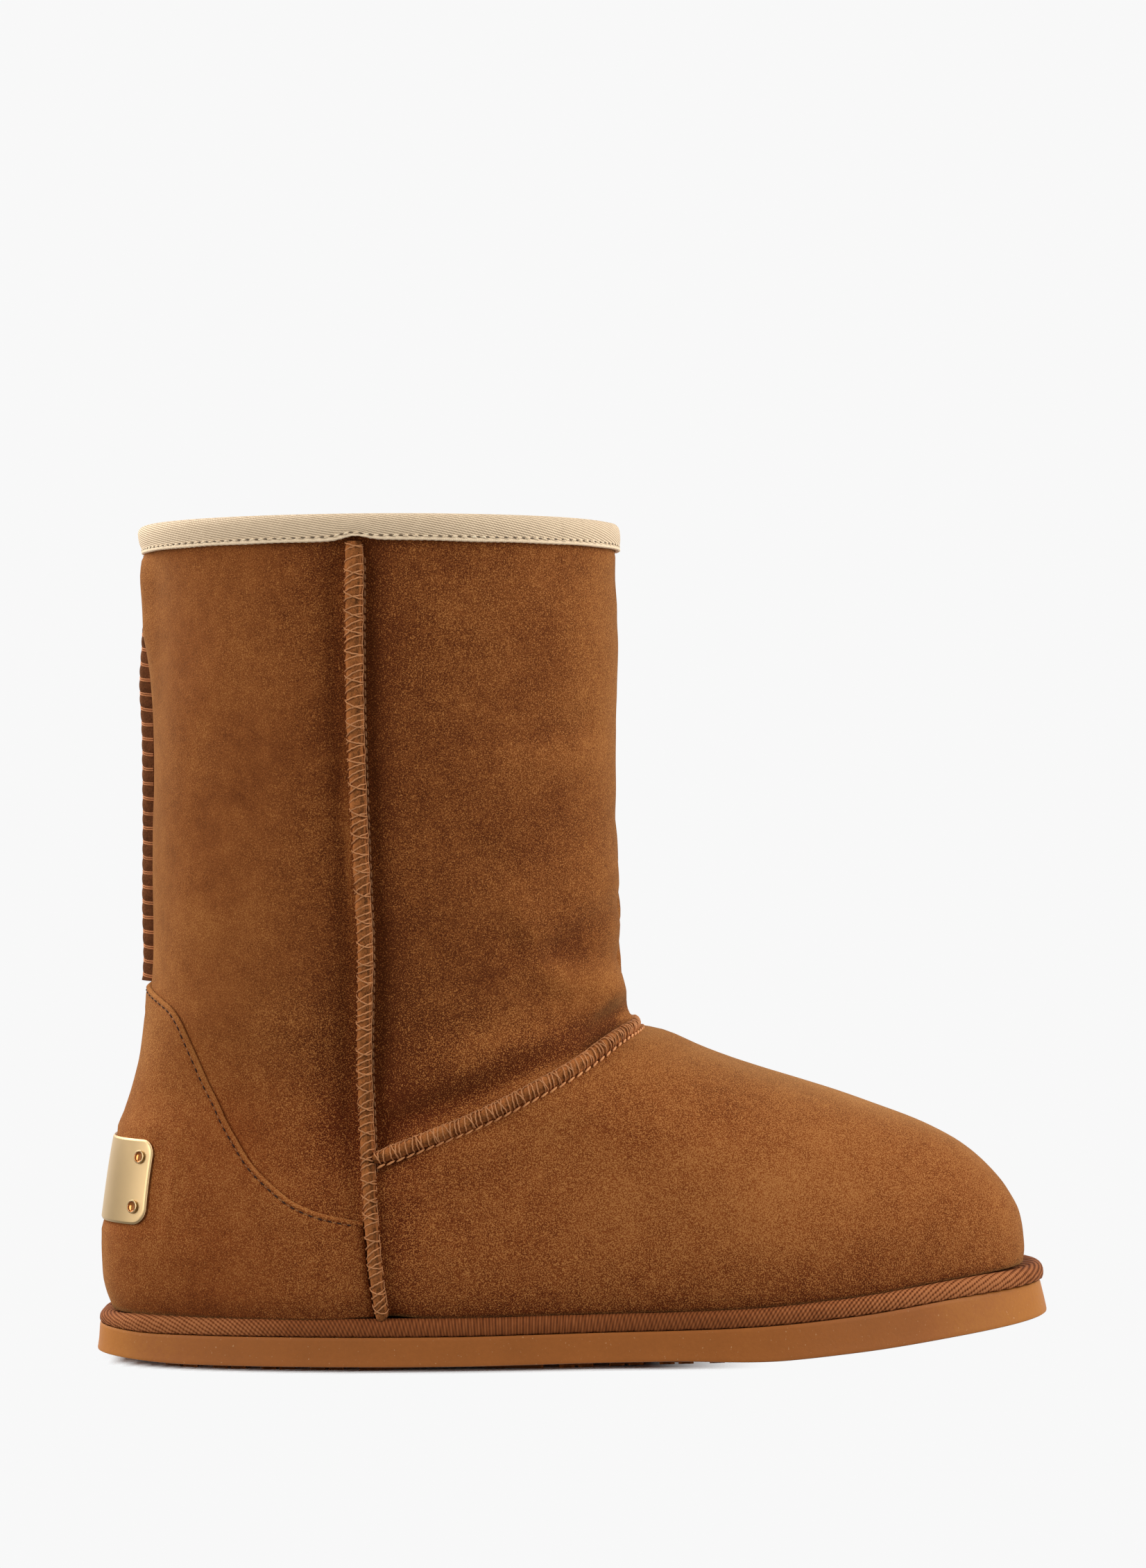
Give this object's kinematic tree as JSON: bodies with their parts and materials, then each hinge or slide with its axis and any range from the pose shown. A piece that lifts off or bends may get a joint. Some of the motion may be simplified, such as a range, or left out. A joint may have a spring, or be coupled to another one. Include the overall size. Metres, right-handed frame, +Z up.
{
  "type": "ankle boot",
  "caption": "Pull-on suede sheepskin ankle boot with raised seams, taped collar, heel counter with a plain metal plate, and a low gum sole.",
  "frame": {"origin": "on the floor under the middle of the sole's bounding box", "axes": "+X towards the toe, -Y towards the outer side of the foot, +Z up"},
  "size_m": [0.276, 0.1092, 0.2397],
  "materials": {
    "suede": "napped suede",
    "seam_suede": "napped suede edge under overlock thread",
    "cream_tape": "twill",
    "brown_tape": "twill",
    "gum": "matt",
    "pile": "short wool pile",
    "pale_gold": "brushed with a polished rim"
  },
  "bodies": {
    "root": {"upper": "suede", "heel_counter": "suede", "side_seam_lateral": "seam_suede", "side_seam_medial": "seam_suede", "vamp_seam": "seam_suede", "back_seam": "seam_suede", "collar_binding": "cream_tape", "rand": "brown_tape", "outsole": "gum", "insole": "pile", "heel_plate": "pale_gold", "rivet_1": "pale_gold", "rivet_2": "pale_gold", "rivet_3": "pale_gold", "rivet_4": "pale_gold"}
  },
  "joints": []
}
